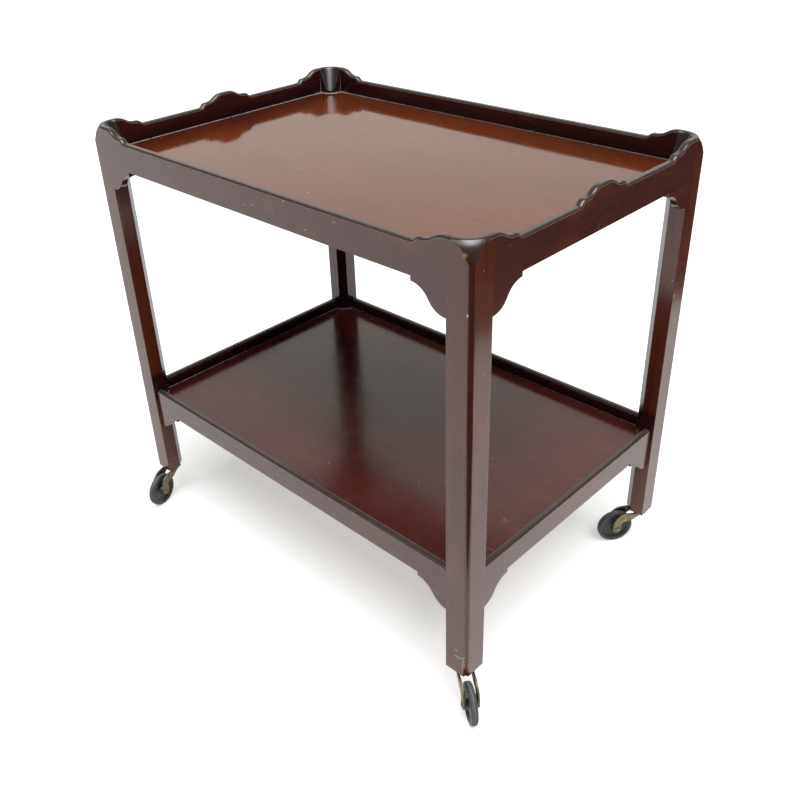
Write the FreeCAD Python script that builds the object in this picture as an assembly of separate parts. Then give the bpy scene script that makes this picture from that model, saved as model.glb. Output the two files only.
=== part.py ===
import FreeCAD, Part
import math
import os

# Two-tier gallery tea trolley: four straight legs carry a deep-railed top tray and a
# shallower shelf, and each leg stands on a brass swivel castor.
# Millimetres, +Z up, origin on the floor under the middle of the trolley.
# +X runs along the length, and the front long side faces -Y.

# ---------------------------------------------------------------- driving dimensions
# Frame
length = 700.0                # over the outer faces of the legs, along X
width = 466.0                 # over the outer faces of the legs, along Y
leg_size = 34.0               # side of the square leg
leg_foot_height = 58.0        # underside of the leg above the floor
outer_chamfer = 4.8           # how far the hollow on the outer arris reaches along each face
outer_hollow_radius = 5.0     # radius of that hollow
inner_chamfer = 12.0          # flat chamfer on the inner arris
foot_bevel = 3.0              # bevel round the underside of the leg
wood_fit = 0.1                # glue gap round tenons, boards and sockets

# Gallery of the top tray
rail_thickness = 10.0
nose_radius = 3.2             # rounding of each top arris of a rail
tray_rail_bottom = 603.0
tray_rail_height = 40.0       # at its low stretches, nose included
crest_rise = 15.5             # rise of the rails at every corner
crest_centre = 30.0           # upright axis of the crest's dome, from each outer face
crest_break = 50.0            # slope where the dome's shoulder passes into its long fall
crest_radius = 36.0           # curve of that fall
crest_steep = 72.0            # slope at its lower end, over the outer corner
crest_flat = 3.0              # level stretch of the crest on the rail
crest_ogee = 32.0             # length of the upper ogee
cusp_rise = 5.5               # height of the small step at the foot of each crest
cusp_flat = 1.5               # level stretch of that step
cusp_ogee = 12.5              # length of the lower ogee
handle_rise = 15.0            # rise of the middle crest on the short rails
handle_flat = 7.0             # half of its level top
handle_ogee = 29.0
handle_cusp_rise = 6.0
handle_cusp_flat = 2.0
handle_cusp_ogee = 13.0

# Scoop cut into the inner corner of each leg's top
scoop_tip_depth = 20.5        # tip below the low level of the rail
scoop_tip_radius = 12.0
scoop_top_radius = 17.5
scoop_ridge_offset = 20.0     # ridge from the outer corner, along the diagonal
scoop_overrun = 3.0           # the gouge runs on past the tip and past the top

# Shelf
shelf_inset = 4.0             # shelf rails stand back from the leg faces
shelf_rail_bottom = 189.0
shelf_rail_height = 35.0
shelf_end_radius = 6.0        # rounded top corners at the ends of the shelf rails

# Boards and joints
board_thickness = 8.0
tongue_thickness = 5.0        # tongue along the board's underside, let into the rails
tray_floor = 618.5            # upper face of the tray board
shelf_floor = 204.5           # upper face of the shelf board
groove_depth = 4.0
tenon_length = 14.0
tenon_thickness = 6.0
tenon_height = 20.0
tenon_rise = 5.0              # tenon above the underside of its rail

# Brackets under the rails
tray_bracket_length = 48.5
shelf_bracket_length = 51.0
bracket_height = 34.0
bracket_step = 6.0            # square step at the thin end

# Castors
wheel_radius = 28.0
wheel_width = 9.6
wheel_trail = 36.0            # axle behind the swivel stem
tyre_depth = 6.5
tyre_edge = 3.0               # rounding of the tyre's shoulders
rim_step = 0.8                # the tyre stands proud of the rim's sides
rim_depth = 3.5
web_thickness = 4.4
hub_radius = 6.5
hub_edge = 1.0                # bevel of the hub and of the rim
hub_flare = 2.0               # the hub spreads this much where it meets the web
side_play = 0.3               # hub to each fork arm
arm_gap = 17.0                # between the fork arms
arm_thickness = 2.6
arm_end_radius = 6.5
arm_shoulder_radius = 20.0    # outer bend of the swan neck
arm_knee_radius = 6.0         # inner bend of the swan neck
arm_back = 9.0                # arm behind the stem
arm_neck = 11.0               # depth of the arm under the crown
crown_thickness = 3.0
crown_front = 8.0             # crown plate ahead of the stem
axle_radius = 2.5
axle_play = 0.06              # radial, wheel on axle
rivet_radius = 3.8
rivet_height = 1.2
stem_radius = 4.0
stem_length = 34.0
stem_play = 0.06              # radial, stem in socket
socket_radius = 6.0
socket_length = 38.0
flange_radius = 11.0
flange_thickness = 1.5
swivel_play = 0.3             # flange to crown

# Trail direction of each castor at rest, degrees anticlockwise from +X
trails = {
    "front_right": -37.0,
    "front_left": -74.0,
    "back_right": -126.0,
    "back_left": 130.0,
}

# ---------------------------------------------------------------- derived places
half_length = length / 2
half_width = width / 2
tray_low = tray_rail_bottom + tray_rail_height
shelf_top = shelf_rail_bottom + shelf_rail_height
leg_top = tray_low + crest_rise

# Outer corner of each leg, and the turn that brings the leg there
corners = {
    "front_left": (-half_length, -half_width, 0.0),
    "front_right": (half_length, -half_width, 90.0),
    "back_right": (half_length, half_width, 180.0),
    "back_left": (-half_length, half_width, 270.0),
}
# Each side: half its length, how far its leg faces stand from the middle, and its turn
sides = {
    "front": (half_length, half_width, 0.0),
    "right": (half_width, half_length, 90.0),
    "back": (half_length, half_width, 180.0),
    "left": (half_width, half_length, 270.0),
}

UP = FreeCAD.Vector(0, 0, 1)
ORIGIN = FreeCAD.Vector(0, 0, 0)


def vec(x, y, z=0.0):
    return FreeCAD.Vector(x, y, z)


def save(name, shape):
    if not shape.isValid():
        raise ValueError(name + " is not a valid shape")
    shape.exportStep("parts/" + name + ".step")


def box(x0, x1, y0, y1, z0, z1):
    return Part.makeBox(x1 - x0, y1 - y0, z1 - z0, vec(x0, y0, z0))


def turned(shape, angle, x=0.0, y=0.0):
    """A copy turned about the vertical through the origin, then moved to (x, y)."""
    copy = shape.copy()
    copy.rotate(ORIGIN, UP, angle)
    copy.translate(vec(x, y))
    return copy


def prism(edges, direction):
    """Closed outline of edges, made a face and carried along a direction."""
    return Part.Face(Part.Wire(edges)).extrude(direction)


def line(a, b):
    return Part.LineSegment(a, b).toShape()


def arc(a, through, b):
    return Part.Arc(a, through, b).toShape()


def bend(centre, radius, from_degrees, to_degrees):
    """Arc in the XZ plane about a centre (x, z)."""
    middle = (from_degrees + to_degrees) / 2
    points = []
    for degrees in (from_degrees, middle, to_degrees):
        turn = math.radians(degrees)
        points.append(vec(centre[0] + radius * math.cos(turn), 0,
                          centre[1] + radius * math.sin(turn)))
    return arc(*points)


def ogee(x0, z0, x1, z1):
    """S-curve of two equal arcs in the XZ plane, level at both of its ends."""
    dx, dz = x1 - x0, z1 - z0
    radius = (dx * dx + dz * dz) / (4 * abs(dz))
    half_turn = math.atan2(abs(dz), abs(dx))
    run = math.copysign(radius * math.sin(half_turn), dx)
    drop = math.copysign(radius * (1 - math.cos(half_turn)), dz)
    middle = vec((x0 + x1) / 2, 0, (z0 + z1) / 2)
    return [
        arc(vec(x0, 0, z0), vec(x0 + run, 0, z0 + drop), middle),
        arc(middle, vec(x1 - run, 0, z1 - drop), vec(x1, 0, z1)),
    ]


# ---------------------------------------------------------------- legs
def leg_outline(inset, z):
    """Leg section with its outer corner at the origin, drawn in by an inset."""
    low, high = inset, leg_size - inset
    start = outer_chamfer + inset * (math.sqrt(2) - 1)
    cut = inner_chamfer - inset * (2 - math.sqrt(2))
    half_chord = outer_chamfer / math.sqrt(2)
    sagitta = outer_hollow_radius - math.sqrt(outer_hollow_radius ** 2 - half_chord ** 2)
    deep = (low + start) / 2 + sagitta / math.sqrt(2)
    return [
        arc(vec(low, start, z), vec(deep, deep, z), vec(start, low, z)),
        line(vec(start, low, z), vec(high, low, z)),
        line(vec(high, low, z), vec(high, high - cut, z)),
        line(vec(high, high - cut, z), vec(high - cut, high, z)),
        line(vec(high - cut, high, z), vec(low, high, z)),
        line(vec(low, high, z), vec(low, start, z)),
    ]


def crest_chute():
    """What falls away outside the dome of the crest, over the outer quarter of one leg.

    The dome has a level top, the rails' nose as its shoulder, a long rounded fall and a
    steep cone at the outer corner.
    """
    break_slope, steep_slope = math.radians(crest_break), math.radians(crest_steep)
    level = crest_centre - nose_radius
    edge = level + nose_radius * math.sin(break_slope)
    below = leg_top - nose_radius * (1 - math.cos(break_slope))
    centre = (edge - crest_radius * math.sin(break_slope),
              below - crest_radius * math.cos(break_slope))
    low_edge = centre[0] + crest_radius * math.sin(steep_slope)
    low = centre[1] + crest_radius * math.cos(steep_slope)
    reach = crest_centre * math.sqrt(2)
    foot = low - (reach - low_edge) * math.tan(steep_slope)
    bottom = leg_foot_height + foot_bevel
    outline = [
        line(vec(0, 0, leg_top), vec(level, 0, leg_top)),
        bend((level, leg_top - nose_radius), nose_radius, 90.0, 90.0 - crest_break),
        bend(centre, crest_radius, 90.0 - crest_break, 90.0 - crest_steep),
        line(vec(low_edge, 0, low), vec(reach, 0, foot)),
        line(vec(reach, 0, foot), vec(reach, 0, bottom)),
        line(vec(reach, 0, bottom), vec(0, 0, bottom)),
        line(vec(0, 0, bottom), vec(0, 0, leg_top)),
    ]
    dome = Part.Face(Part.Wire(outline)).revolve(ORIGIN, UP, 360)
    dome.translate(vec(crest_centre, crest_centre))
    return box(0, crest_centre, 0, crest_centre, bottom, leg_top).cut(dome)


def nosed_block():
    """Block over one leg with the rails' nose along the top of its face at y = 0."""
    block = box(0, leg_size, 0, leg_size, leg_foot_height + foot_bevel, leg_top)
    front = [edge for edge in block.Edges
             if edge.BoundBox.YMax < 1e-3 and edge.BoundBox.ZMin > leg_top - 1e-3]
    return block.makeFillet(nose_radius, front)


def scoop():
    """Gouge cut that falls steeply from the ridge of the crest to the leg's inner chamfer."""
    face = (2 * leg_size - inner_chamfer) / math.sqrt(2)
    tip = tray_low - scoop_tip_depth
    rise = leg_top - tip
    lean = (face - scoop_ridge_offset) / rise
    flare = (scoop_top_radius - scoop_tip_radius) / rise
    rings = []
    for z in (tip - scoop_overrun, leg_top + scoop_overrun):
        radius = scoop_tip_radius + flare * (z - tip)
        centre = (face - lean * (z - tip) + radius) / math.sqrt(2)
        rings.append(Part.Wire(Part.makeCircle(radius, vec(centre, centre, z))))
    return Part.makeLoft(rings, True, True)


def mortises():
    """Pockets for the tenons of both tiers, in the two inner faces of the leg."""
    cuts = []
    for setback, bottom in ((0.0, tray_rail_bottom), (shelf_inset, shelf_rail_bottom)):
        middle = setback + rail_thickness / 2
        half = tenon_thickness / 2 + wood_fit
        reach = leg_size - tenon_length - wood_fit
        z0 = bottom + tenon_rise - wood_fit
        z1 = bottom + tenon_rise + tenon_height + wood_fit
        cuts.append(box(reach, leg_size, middle - half, middle + half, z0, z1))
        cuts.append(box(middle - half, middle + half, reach, leg_size, z0, z1))
    return cuts


def make_leg():
    shoulder = leg_foot_height + foot_bevel
    foot = Part.makeLoft([
        Part.Wire(leg_outline(foot_bevel, leg_foot_height)),
        Part.Wire(leg_outline(0.0, shoulder)),
    ], True, True)
    column = prism(leg_outline(0.0, shoulder), vec(0, 0, leg_top - shoulder))
    along_x = nosed_block()
    along_y = along_x.mirror(ORIGIN, vec(1, -1, 0))
    body = column.common(along_x).common(along_y).cut(crest_chute()).cut(scoop())
    ridge = [edge for edge in body.Edges
             if edge.BoundBox.ZMin > leg_top - 1e-3
             and edge.BoundBox.XMax > leg_size - 1e-3 and edge.BoundBox.YMax > leg_size - 1e-3]
    body = body.makeFillet(nose_radius, ridge).cut(mortises())
    socket_hole = Part.makeCylinder(
        socket_radius + wood_fit, socket_length + wood_fit,
        vec(leg_size / 2, leg_size / 2, leg_foot_height))
    return body.fuse(foot).removeSplitter().cut(socket_hole)


# ---------------------------------------------------------------- rails
def round_top(rail):
    """Round both top arrises of a rail along its whole profile."""
    edges = [edge for edge in rail.Edges
             if edge.BoundBox.YLength < 1e-3
             and edge.BoundBox.XLength > 1e-3
             and edge.BoundBox.ZMin > rail.BoundBox.ZMin + nose_radius]
    return rail.makeFillet(nose_radius, edges)


def crest_end(half, low, side):
    """Top edges of a gallery rail from a leg towards the middle, side -1 or +1."""
    x0 = half - leg_size
    x1 = x0 - crest_flat
    x2 = x1 - crest_ogee
    x3 = x2 - cusp_flat
    x4 = x3 - cusp_ogee
    step = low + cusp_rise
    high = low + crest_rise
    parts = [line(vec(side * x0, 0, high), vec(side * x1, 0, high))]
    parts += ogee(side * x1, high, side * x2, step)
    parts += [line(vec(side * x2, 0, step), vec(side * x3, 0, step))]
    parts += ogee(side * x3, step, side * x4, low)
    return parts, side * x4


def handle_crest(low):
    """Top edges of the middle crest of a short rail, from its left foot to its right foot."""
    x1 = handle_flat
    x2 = x1 + handle_ogee
    x3 = x2 + handle_cusp_flat
    x4 = x3 + handle_cusp_ogee
    step = low + handle_cusp_rise
    high = low + handle_rise
    parts = ogee(-x4, low, -x3, step)
    parts += [line(vec(-x3, 0, step), vec(-x2, 0, step))]
    parts += ogee(-x2, step, -x1, high)
    parts += [line(vec(-x1, 0, high), vec(x1, 0, high))]
    parts += ogee(x1, high, x2, step)
    parts += [line(vec(x2, 0, step), vec(x3, 0, step))]
    parts += ogee(x3, step, x4, low)
    return parts, x4


def tray_rail_top(half, with_handle):
    """Whole top edge of a gallery rail, from its left end to its right end."""
    left, left_foot = crest_end(half, tray_low, -1)
    right, right_foot = crest_end(half, tray_low, 1)
    if not with_handle:
        middle = [line(vec(left_foot, 0, tray_low), vec(right_foot, 0, tray_low))]
    else:
        handle, foot = handle_crest(tray_low)
        middle = [line(vec(left_foot, 0, tray_low), vec(-foot, 0, tray_low))] + handle
        middle.append(line(vec(foot, 0, tray_low), vec(right_foot, 0, tray_low)))
    return left + middle + right[::-1]


def shelf_rail_top(half):
    end = half - leg_size
    inner = end - shelf_end_radius
    centre = shelf_top - shelf_end_radius
    return [
        bend((-inner, centre), shelf_end_radius, 180.0, 90.0),
        line(vec(-inner, 0, shelf_top), vec(inner, 0, shelf_top)),
        bend((inner, centre), shelf_end_radius, 90.0, 0.0),
    ]


def make_rail(half, bottom, top_edges, end_height, floor):
    """Rail between two legs: profiled top with rounded arrises, tenons and board groove.

    Its outer face lies on y = 0 and its thickness runs to +y.
    """
    end = half - leg_size
    outline = top_edges + [
        line(vec(end, 0, end_height), vec(end, 0, bottom)),
        line(vec(end, 0, bottom), vec(-end, 0, bottom)),
        line(vec(-end, 0, bottom), vec(-end, 0, end_height)),
    ]
    rail = round_top(prism(outline, vec(0, rail_thickness, 0)))
    middle = rail_thickness / 2
    for side in (-1, 1):
        root, tip = sorted((side * end, side * (end + tenon_length)))
        tenon = box(root, tip, middle - tenon_thickness / 2, middle + tenon_thickness / 2,
                    bottom + tenon_rise, bottom + tenon_rise + tenon_height)
        rail = rail.fuse(tenon)
    underside = floor - board_thickness
    groove = box(-end, end, rail_thickness - groove_depth, rail_thickness,
                 underside, underside + tongue_thickness)
    return rail.removeSplitter().cut(groove)


# ---------------------------------------------------------------- boards
def make_board(setback, floor):
    """Board with a tongue in the rail grooves, notched round the four legs."""
    z = floor - board_thickness
    face = setback + rail_thickness + wood_fit
    edge = face - groove_depth
    panel = box(face - half_length, half_length - face, face - half_width, half_width - face,
                z, floor)
    tongue = box(edge - half_length, half_length - edge, edge - half_width, half_width - edge,
                 z, z + tongue_thickness)
    board = panel.fuse(tongue).removeSplitter()
    reach = leg_size + wood_fit
    cut = inner_chamfer - wood_fit * (2 - math.sqrt(2))
    notch = Part.Face(Part.makePolygon([
        vec(0, 0, z), vec(reach, 0, z), vec(reach, reach - cut, z),
        vec(reach - cut, reach, z), vec(0, reach, z), vec(0, 0, z),
    ])).extrude(vec(0, 0, board_thickness))
    return board.cut([turned(notch, turn, x, y) for x, y, turn in corners.values()])


# ---------------------------------------------------------------- brackets
def make_bracket(half, bottom, reach, side):
    """Ogee bracket in the angle under a rail and against a leg, side -1 or +1."""
    leg_face = side * (half - leg_size)
    tip = leg_face - side * reach
    outline = [
        line(vec(leg_face, 0, bottom), vec(tip, 0, bottom)),
        line(vec(tip, 0, bottom), vec(tip, 0, bottom - bracket_step)),
    ]
    outline += ogee(tip, bottom - bracket_step, leg_face, bottom - bracket_height)
    outline += [line(vec(leg_face, 0, bottom - bracket_height), vec(leg_face, 0, bottom))]
    return prism(outline, vec(0, rail_thickness, 0))


# ---------------------------------------------------------------- castors
def lathe(points, about_x, about_z):
    """Closed (y, radius) outline turned about the axle, which runs along Y."""
    corners_3d = [vec(about_x, y, about_z + r) for y, r in points]
    corners_3d.append(corners_3d[0])
    face = Part.Face(Part.makePolygon(corners_3d))
    return face.revolve(vec(about_x, 0, about_z), vec(0, 1, 0), 360)


def make_socket():
    """Brass sleeve driven into the leg, with a flange under the foot."""
    flange = Part.makeCylinder(flange_radius, flange_thickness,
                               vec(0, 0, leg_foot_height - flange_thickness))
    sleeve = Part.makeCylinder(socket_radius, socket_length, vec(0, 0, leg_foot_height))
    bore = Part.makeCylinder(stem_radius + stem_play, socket_length,
                             vec(0, 0, leg_foot_height - flange_thickness))
    return flange.fuse(sleeve).removeSplitter().cut(bore)


def arm_outline(crown_top, y):
    """Side view of one swan-neck arm, from the crown to the rounded end at the axle."""
    back = wheel_trail - arm_end_radius
    front = wheel_trail + arm_end_radius
    shoulder = front - arm_shoulder_radius
    knee_x = back - arm_knee_radius
    knee_z = crown_top - arm_neck - arm_knee_radius - crown_thickness
    neck_z = knee_z + arm_knee_radius
    edges = [
        line(vec(-arm_back, 0, crown_top), vec(shoulder, 0, crown_top)),
        bend((shoulder, crown_top - arm_shoulder_radius), arm_shoulder_radius, 90.0, 0.0),
        line(vec(front, 0, crown_top - arm_shoulder_radius), vec(front, 0, wheel_radius)),
        bend((wheel_trail, wheel_radius), arm_end_radius, 0.0, -180.0),
        line(vec(back, 0, wheel_radius), vec(back, 0, knee_z)),
        bend((knee_x, knee_z), arm_knee_radius, 0.0, 90.0),
    ]
    edges += ogee(knee_x, neck_z, -arm_back, crown_top - crown_thickness)
    edges.append(line(vec(-arm_back, 0, crown_top - crown_thickness),
                      vec(-arm_back, 0, crown_top)))
    outline = Part.Wire(edges)
    outline.translate(vec(0, y))
    return outline


def make_fork():
    """Crown plate, two swan-neck arms and the swivel stem, in one casting."""
    crown_top = leg_foot_height - flange_thickness - swivel_play
    inner = arm_gap / 2
    outer = inner + arm_thickness
    fork = box(-arm_back, crown_front, -outer, outer, crown_top - crown_thickness, crown_top)
    for y in (-outer, inner):
        arm = Part.Face(arm_outline(crown_top, y)).extrude(vec(0, arm_thickness))
        fork = fork.fuse(arm)
    stem = Part.makeCylinder(stem_radius, stem_length, vec(0, 0, crown_top - crown_thickness))
    hole = Part.makeCylinder(axle_radius, 2 * outer, vec(wheel_trail, -outer, wheel_radius),
                             vec(0, 1, 0))
    return fork.fuse(stem).removeSplitter().cut(hole)


def make_axle():
    """Riveted pin through both arms."""
    outer = arm_gap / 2 + arm_thickness
    head = outer + rivet_height
    return lathe([
        (-head, 0), (-head, rivet_radius - rivet_height), (-outer - rivet_height / 3, rivet_radius),
        (-outer, rivet_radius), (-outer, axle_radius), (outer, axle_radius),
        (outer, rivet_radius), (outer + rivet_height / 3, rivet_radius),
        (head, rivet_radius - rivet_height), (head, 0),
    ], wheel_trail, wheel_radius)


def make_wheel():
    """Moulded wheel centre: hub, dished web and rim."""
    hub = arm_gap / 2 - side_play
    rim = wheel_width / 2 - rim_step
    web = web_thickness / 2
    seat = wheel_radius - tyre_depth
    bore = axle_radius + axle_play
    half = [
        (hub, bore), (hub, hub_radius - hub_edge), (hub - hub_edge, hub_radius),
        (web, hub_radius + hub_flare), (web, seat - rim_depth),
        (rim, seat - rim_depth + hub_edge),
        (rim, seat),
    ]
    outline = half + [(-y, r) for y, r in reversed(half)]
    return lathe(outline, wheel_trail, wheel_radius)


def make_tyre():
    """Rubber tyre with rounded shoulders."""
    side = wheel_width / 2
    seat = wheel_radius - tyre_depth
    ring = lathe([(-side, seat), (-side, wheel_radius), (side, wheel_radius), (side, seat)],
                 wheel_trail, wheel_radius)
    shoulders = [edge for edge in ring.Edges
                 if abs(edge.BoundBox.ZMax - 2 * wheel_radius) < 1e-6
                 and edge.BoundBox.YLength < 1e-6]
    return ring.makeFillet(tyre_edge, shoulders)


# ---------------------------------------------------------------- assembly
def main():
    os.makedirs("parts", exist_ok=True)

    leg = make_leg()
    for corner, (x, y, turn) in corners.items():
        save("leg_" + corner, turned(leg, turn, x, y))

    for side, (half, reach, turn) in sides.items():
        quarter = math.radians(turn)
        tray_x, tray_y = math.sin(quarter) * reach, -math.cos(quarter) * reach
        in_x, in_y = -math.sin(quarter) * shelf_inset, math.cos(quarter) * shelf_inset
        short = side in ("left", "right")

        rail = make_rail(half, tray_rail_bottom, tray_rail_top(half, short), leg_top,
                         tray_floor)
        save("tray_rail_" + side, turned(rail, turn, tray_x, tray_y))
        rail = make_rail(half, shelf_rail_bottom, shelf_rail_top(half),
                         shelf_top - shelf_end_radius, shelf_floor)
        save("shelf_rail_" + side, turned(rail, turn, tray_x + in_x, tray_y + in_y))

        for end, sign in (("a", -1), ("b", 1)):
            bracket = make_bracket(half, tray_rail_bottom, tray_bracket_length, sign)
            save("tray_bracket_" + side + "_" + end, turned(bracket, turn, tray_x, tray_y))
            bracket = make_bracket(half, shelf_rail_bottom, shelf_bracket_length, sign)
            save("shelf_bracket_" + side + "_" + end,
                 turned(bracket, turn, tray_x + in_x, tray_y + in_y))

    save("tray_board", make_board(0.0, tray_floor))
    save("shelf_board", make_board(shelf_inset, shelf_floor))

    castor = {
        "castor_socket_": make_socket(),
        "castor_fork_": make_fork(),
        "castor_axle_": make_axle(),
        "castor_wheel_": make_wheel(),
        "castor_tyre_": make_tyre(),
    }
    for corner, trail in trails.items():
        x, y, _ = corners[corner]
        stem_x = x - math.copysign(leg_size / 2, x)
        stem_y = y - math.copysign(leg_size / 2, y)
        for name, piece in castor.items():
            save(name + corner, turned(piece, trail, stem_x, stem_y))


main()
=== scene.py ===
import math

import bpy
import numpy as np
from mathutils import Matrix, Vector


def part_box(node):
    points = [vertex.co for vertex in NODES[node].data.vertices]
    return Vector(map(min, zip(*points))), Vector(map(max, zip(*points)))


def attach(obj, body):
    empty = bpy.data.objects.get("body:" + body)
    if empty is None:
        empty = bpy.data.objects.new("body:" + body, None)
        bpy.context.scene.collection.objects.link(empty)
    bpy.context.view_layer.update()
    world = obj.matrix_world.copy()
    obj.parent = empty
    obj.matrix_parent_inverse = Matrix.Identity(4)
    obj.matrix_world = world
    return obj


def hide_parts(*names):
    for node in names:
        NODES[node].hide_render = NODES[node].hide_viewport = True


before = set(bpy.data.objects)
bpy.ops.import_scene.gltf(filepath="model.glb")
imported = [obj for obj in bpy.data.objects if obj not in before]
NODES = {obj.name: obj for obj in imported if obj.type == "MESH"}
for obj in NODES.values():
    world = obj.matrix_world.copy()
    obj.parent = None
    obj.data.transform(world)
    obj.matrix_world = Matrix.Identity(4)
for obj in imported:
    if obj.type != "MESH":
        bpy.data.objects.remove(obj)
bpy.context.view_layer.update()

bl_info = {
    "name": "Tea trolley finish",
    "version": (1, 0, 0),
    "blender": (4, 5, 0),
    "location": "3D View > Sidebar > Trolley",
    "description": "Polished mahogany, aged brass and worn rubber for a two-tier tea trolley",
    "category": "Object",
}

CORNERS = ("front_left", "front_right", "back_right", "back_left")

# Directions of x and y in the four quarters of the plan.
QUARTERS = ((1, 1), (-1, 1), (-1, -1), (1, -1))

# Colours of what lies on the wood and the metal, and of the painted shade on them.
# Painted shade on faces turned inwards and on the flats of the inner arrises.
INNER_PAINTED_SHADE = (0.011, 0.002, 0.007)
# Painted shade in the hollows on the outer arrises of the legs.
HOLLOW_PAINTED_SHADE = (0.030, 0.012, 0.010)
# Painted shade along the edges of the boards beside the rails and at their left ends.
BOARD_EDGE_PAINTED_SHADE = (0.036, 0.005, 0.005)
SCRATCH = (0.42, 0.34, 0.28)
SPECK = (0.62, 0.57, 0.50)
DUST = (0.45, 0.40, 0.35)
# Painted shade on the metal where other parts stand close by.
NEAR_PARTS_PAINTED_SHADE = (0.016, 0.014, 0.011)

# Heights and depths in metres that a surface's normal shows.
FIBRE_HEIGHT = 0.0000015
PORE_DEPTH = 0.000006
SCRATCH_DEPTH = 0.00001
FILM_HEIGHT = 0.00002

# Layout of the nodes in the node editor: how many to a row, and how far apart.
NODES_IN_ROW = 12
NODE_PITCH = (200, -260)


# ------------------------------------------------------------------ settings
def colour_setting(name, description, default):
    """Colour that a user can change."""
    return bpy.props.FloatVectorProperty(
        name=name, description=description, subtype="COLOR", size=3, min=0, max=1,
        default=default)


class TrolleyWood(bpy.types.PropertyGroup):
    body: colour_setting(
        "Body colour", "Main colour of the polished mahogany", (0.132, 0.029, 0.014))
    dark: colour_setting(
        "Dark streak", "Colour of the dark growth streaks", (0.060, 0.010, 0.006))
    light: colour_setting(
        "Light figure", "Colour of the lighter ribbon figure", (0.205, 0.055, 0.024))
    veneer: colour_setting(
        "Tray colour", "Main colour of the tray's veneered board", (0.172, 0.036, 0.010))
    shelf: colour_setting(
        "Shelf colour", "Wine red of the shelf", (0.118, 0.023, 0.019))
    rubbed: colour_setting(
        "Rubbed wood", "Bare wood where the polish has worn off an arris", (0.420, 0.205, 0.085))
    # Painted reflection: the dark grey laid on every face of the frame that turns up.
    painted_top_grey: colour_setting(
        "Painted top grey", "Dark grey painted on the tops as their dim reflection", (0.060, 0.050, 0.046))
    # Painted highlight: the pale grey laid along the worn arrises and where rounded tops begin.
    arris: colour_setting(
        "Arris line", "Pale grey of worn arrises", (0.260, 0.225, 0.215))
    gloss: bpy.props.FloatProperty(
        name="Polish roughness", description="Roughness of the frame's polish",
        subtype="FACTOR", min=0, max=1, default=0.15)
    board_gloss: bpy.props.FloatProperty(
        name="Board roughness", description="Roughness of the polish on the two boards",
        subtype="FACTOR", min=0, max=1, default=0.06)
    index: bpy.props.FloatProperty(
        name="Polish index", description="Refractive index of the wood's finish",
        min=1, max=2.5, default=1.55)
    eased: bpy.props.FloatProperty(
        name="Eased edge", description="Rounding that light finds on every sharp edge",
        subtype="DISTANCE", min=0, max=0.01, default=0.0010)
    handled: bpy.props.FloatProperty(
        name="Handled tops", description="Roughness that hands have given the tops of the rails",
        subtype="FACTOR", min=0, max=1, default=0.08)


class TrolleyFittings(bpy.types.PropertyGroup):
    brass: colour_setting(
        "Brass", "Clean brass where it is rubbed", (0.30, 0.245, 0.135))
    tarnish: colour_setting(
        "Tarnish", "Brown-green film on the brass", (0.175, 0.147, 0.085))
    steel: colour_setting(
        "Steel", "Axle rivets", (0.20, 0.18, 0.14))
    disc: colour_setting(
        "Wheel disc", "Hard moulded wheel centre", (0.013, 0.016, 0.021))
    rubber: colour_setting(
        "Rubber", "Unworn rubber of the tyre sides", (0.015, 0.016, 0.018))
    tread: colour_setting(
        "Worn tread", "Grey, dusty rubber where the tyre rolls", (0.255, 0.255, 0.252))


class TrolleyShapes(bpy.types.PropertyGroup):
    leg_flat: bpy.props.FloatProperty(
        name="Leg flat", description="Reach of the flat on the inner arris along each leg face",
        subtype="DISTANCE", min=0, max=0.03, default=0.012)
    line: bpy.props.FloatProperty(
        name="Polish line", description="Size of the old polish left in the angle of each tray",
        subtype="DISTANCE", min=0.0002, max=0.004, default=0.0008)
    flare: bpy.props.FloatProperty(
        name="Polish in the corners", description="How much that line grows beside the legs",
        subtype="DISTANCE", min=0, max=0.004, default=0.0005)
    tread_groove: bpy.props.FloatProperty(
        name="Tread groove", description="Depth of the two grooves round each tyre",
        subtype="DISTANCE", min=0, max=0.002, default=0.0007)
    disc_ring: bpy.props.FloatProperty(
        name="Disc ring", description="Height of the raised ring on each wheel disc",
        subtype="DISTANCE", min=0, max=0.002, default=0.0006)


class TrolleyStudio(bpy.types.PropertyGroup):
    key: bpy.props.FloatProperty(
        name="Key light", description="Strength of the broad overhead light",
        min=0, max=20, default=3.1)
    key_spread: bpy.props.FloatProperty(
        name="Key spread", description="Angle that the overhead light takes up",
        subtype="ANGLE", min=0, max=math.pi, default=math.radians(50))
    key_right: bpy.props.FloatProperty(
        name="Key to the right", description="Lean of the overhead light towards +X",
        subtype="ANGLE", min=-1, max=1, default=math.radians(16.6))
    key_front: bpy.props.FloatProperty(
        name="Key to the front", description="Lean of the overhead light towards -Y",
        subtype="ANGLE", min=-1, max=1, default=math.radians(8.6))
    fill: bpy.props.FloatProperty(
        name="Fill", description="Light from all round",
        min=0, max=2, default=0.07)
    ceiling: bpy.props.FloatProperty(
        name="Ceiling", description="Brightness of the unlit part of the room in the polish",
        min=0, max=1, default=0.12)
    window: bpy.props.FloatProperty(
        name="Window", description="Brightness of the high window in the polish",
        min=0, max=10, default=4.6)
    floor: colour_setting(
        "Floor", "Pale studio floor", (0.950, 0.955, 0.955))
    floor_bounce: bpy.props.FloatProperty(
        name="Floor bounce", description="Share of the floor's colour that lights the wood",
        min=0, max=1, default=0.58)
    floor_lift: bpy.props.FloatProperty(
        name="Floor lift", description="Brightness that the floor keeps inside the shadow",
        min=0, max=1, default=0.510)


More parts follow.
